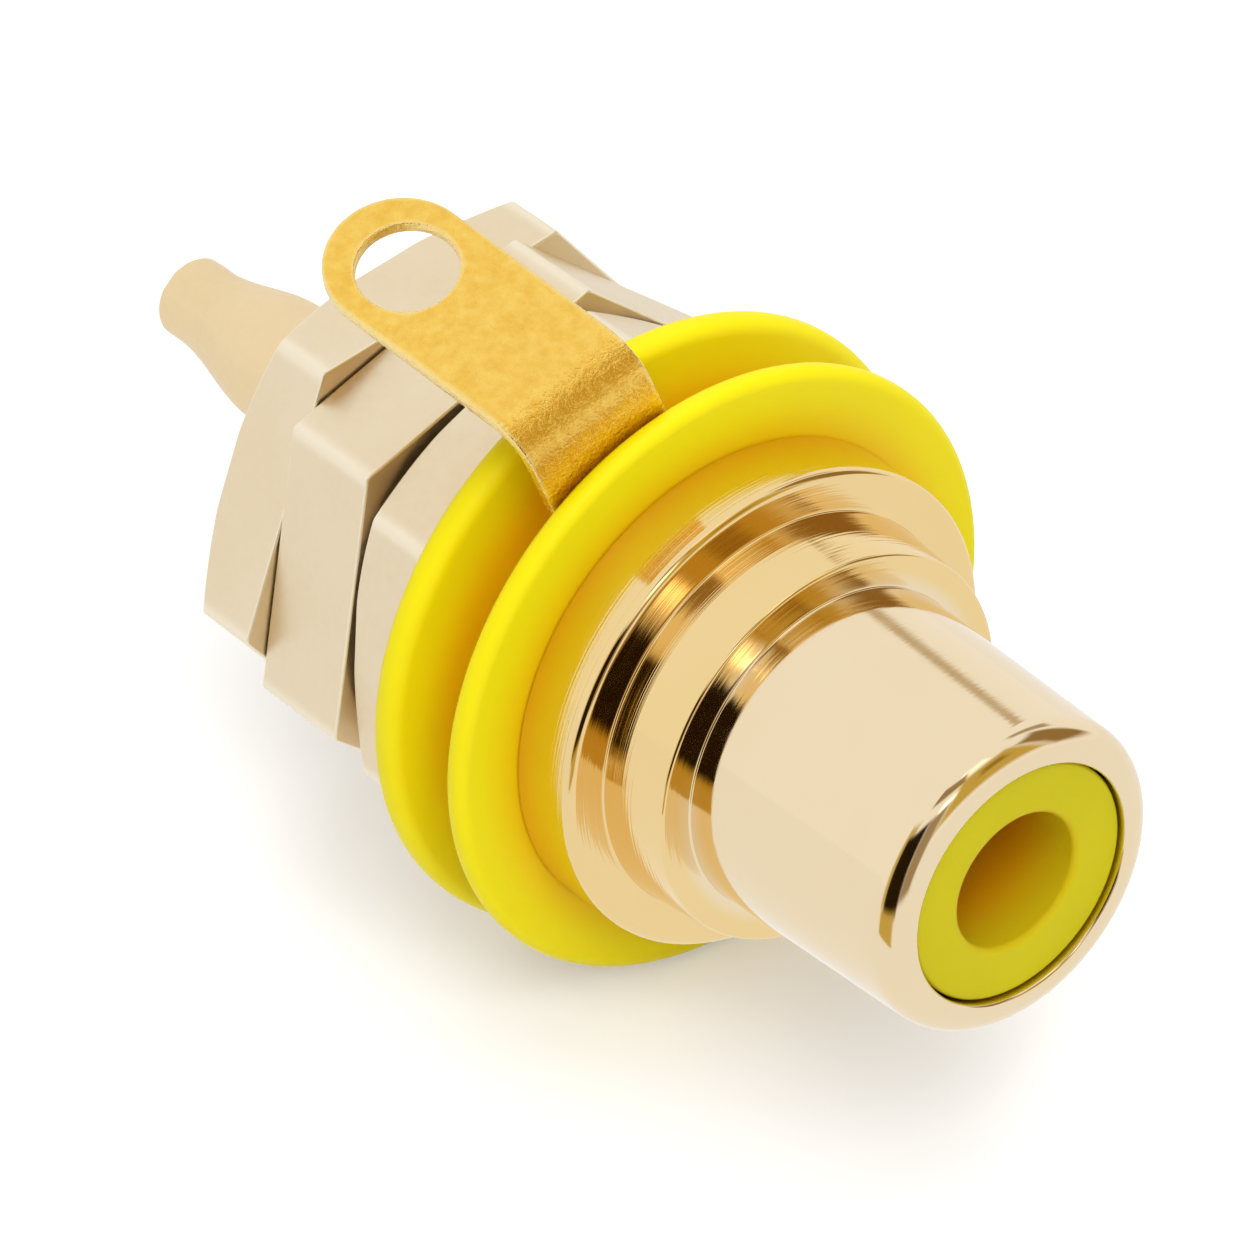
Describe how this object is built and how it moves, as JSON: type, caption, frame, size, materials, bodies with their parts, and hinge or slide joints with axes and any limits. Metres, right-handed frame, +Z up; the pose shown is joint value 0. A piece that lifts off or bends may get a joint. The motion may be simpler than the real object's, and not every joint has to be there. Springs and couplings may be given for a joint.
{
  "type": "phono panel socket",
  "caption": "Gold-plated phono panel socket: turned stepped barrel with insulated mouth, insulating washers, solder tag and hex nuts on its threaded shank.",
  "frame": {"origin": "on the shell's axis in the panel seat, the rear face of the front washer", "axes": "+Y along the shell's axis from the panel toward the solder tail, -Y toward the plug, +Z up; the socket stands as in a vertical panel"},
  "size_m": [0.0158, 0.0313, 0.0187],
  "materials": {
    "gold_plate": "mirror-polished light gold plate",
    "tag_gold": "satin gold plate with a fine grain",
    "yellow_nylon": "smooth satin yellow nylon",
    "mouth_plastic": "smooth satin yellow plastic"
  },
  "bodies": {
    "socket": {"barrel_shell": "gold_plate", "mouth_insulator": "mouth_plastic", "rear_bush": "mouth_plastic", "centre_contact": "gold_plate", "front_washer": "yellow_nylon", "solder_tag": "tag_gold", "rear_washer": "yellow_nylon"},
    "front_nut": {"front_nut": "gold_plate"},
    "middle_nut": {"middle_nut": "gold_plate"},
    "rear_nut": {"rear_nut": "gold_plate"}
  },
  "joints": [
    {"name": "front_nut_turn", "type": "hinge", "parent": "socket", "child": "front_nut", "pos_m": [0, 0.0041, 0], "axis": [0, -1, 0], "continuous": true},
    {"name": "middle_nut_turn", "type": "hinge", "parent": "socket", "child": "middle_nut", "pos_m": [0, 0.0071, 0], "axis": [0, -1, 0], "continuous": true},
    {"name": "rear_nut_turn", "type": "hinge", "parent": "socket", "child": "rear_nut", "pos_m": [0, 0.0097, 0], "axis": [0, -1, 0], "continuous": true}
  ]
}
